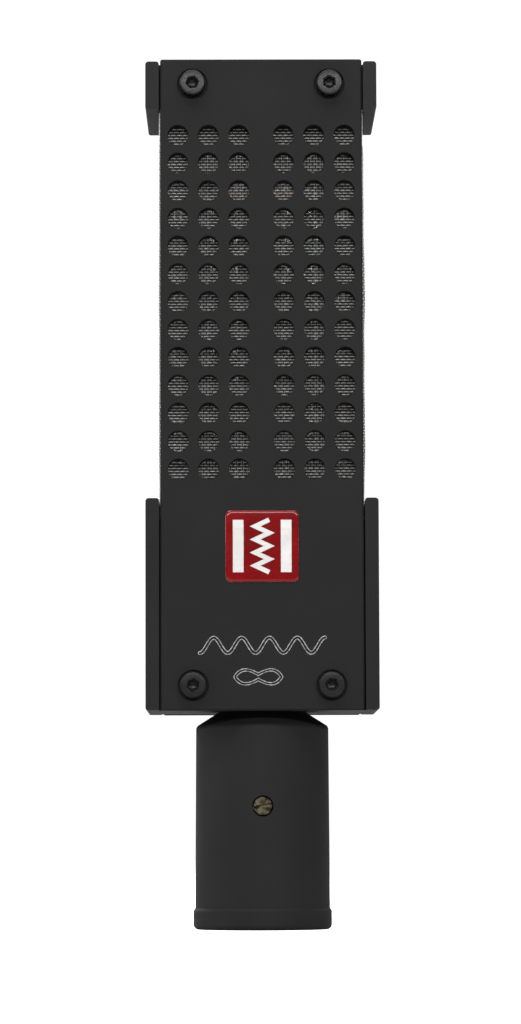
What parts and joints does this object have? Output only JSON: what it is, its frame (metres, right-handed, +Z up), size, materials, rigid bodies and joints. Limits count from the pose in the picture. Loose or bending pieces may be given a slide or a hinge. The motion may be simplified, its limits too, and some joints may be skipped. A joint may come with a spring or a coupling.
{
  "type": "ribbon microphone",
  "caption": "Upright rectangular ribbon microphone with perforated black plates over woven mesh, red square badge, round barrel and a three pin male socket in its foot.",
  "frame": {"origin": "on the barrel's axis at the collar's lower rim", "axes": "+Z up the microphone, front plate and badge face -Y, +X to the right seen from the front"},
  "size_m": [0.0496, 0.0364, 0.1865],
  "materials": {
    "black_coat": "fine matte black powder coat on metal",
    "black_steel": "black oxide, semi-matte",
    "badge_rim": "polished thin rim",
    "red_enamel": "deep red glossy enamel",
    "mesh_wire": "woven bright wire",
    "screen_wire": "fine woven dark wire",
    "black_plastic": "moulded black insulator",
    "pin_plating": "silver plated contacts",
    "aged_brass": "aged brass, slightly dull",
    "brass": "turned brass",
    "fibre": "red vulcanised fibre washer",
    "aluminium_plate": "fine milled aluminium",
    "zinc_steel": "zinc plated steel",
    "shield_steel": "drawn nickel-iron shielding can",
    "potting": "dark potting compound",
    "board_laminate": "glass laminate board",
    "magnet_plating": "nickel plated magnet",
    "pole_steel": "ground soft iron",
    "ribbon_foil": "bright corrugated foil",
    "phenolic": "brown phenolic insulator",
    "rubber": "soft black rubber",
    "lead_jacket": "thin insulated lead"
  },
  "bodies": {
    "microphone": {"front_plate": "black_coat", "rear_plate": "black_coat", "top_cap": "black_coat", "lower_housing": "black_coat", "front_cap_screws": "black_steel", "rear_cap_screws": "black_steel", "badge_base": "badge_rim", "badge_enamel": "red_enamel", "mesh_sleeve": "mesh_wire", "inner_screen": "screen_wire", "neck_barrel": "black_coat", "connector_insert": "black_plastic", "contact_pins": "pin_plating", "neck_washer": "fibre", "neck_nut": "brass", "deck_plate": "aluminium_plate", "deck_pillars": "brass", "deck_screws": "zinc_steel", "transformer_can": "shield_steel", "transformer_core": "potting", "transformer_strap": "zinc_steel", "strap_screws": "zinc_steel", "terminal_board": "board_laminate", "board_spacers": "brass", "board_screws": "zinc_steel", "left_rail": "aluminium_plate", "right_rail": "aluminium_plate", "rail_screws": "zinc_steel", "lower_end_plate": "aluminium_plate", "upper_end_plate": "aluminium_plate", "left_magnet": "magnet_plating", "right_magnet": "magnet_plating", "left_pole": "pole_steel", "right_pole": "pole_steel", "ribbon_ends": "ribbon_foil", "lower_clamp_block": "phenolic", "upper_clamp_block": "phenolic", "clamp_bars": "brass", "clamp_screws": "zinc_steel", "isolation_mounts": "rubber", "motor_screws": "zinc_steel", "motor_buffers": "rubber", "ribbon_leads": "lead_jacket", "transformer_leads": "lead_jacket", "output_leads": "lead_jacket"},
    "ribbon": {"ribbon": "ribbon_foil"},
    "lock_screw": {"lock_screw": "aged_brass"}
  },
  "joints": [
    {"name": "ribbon_travel", "type": "slide", "parent": "microphone", "child": "ribbon", "axis": [0, 1, 0], "range_m": [-0.0004, 0.0004], "stiffness_N_per_m": 5},
    {"name": "lock_screw_turn", "type": "hinge", "parent": "microphone", "child": "lock_screw", "pos_m": [0, -0.01, 0.0263], "axis": [0, 1, 0], "range_deg": [-270, 0]}
  ]
}
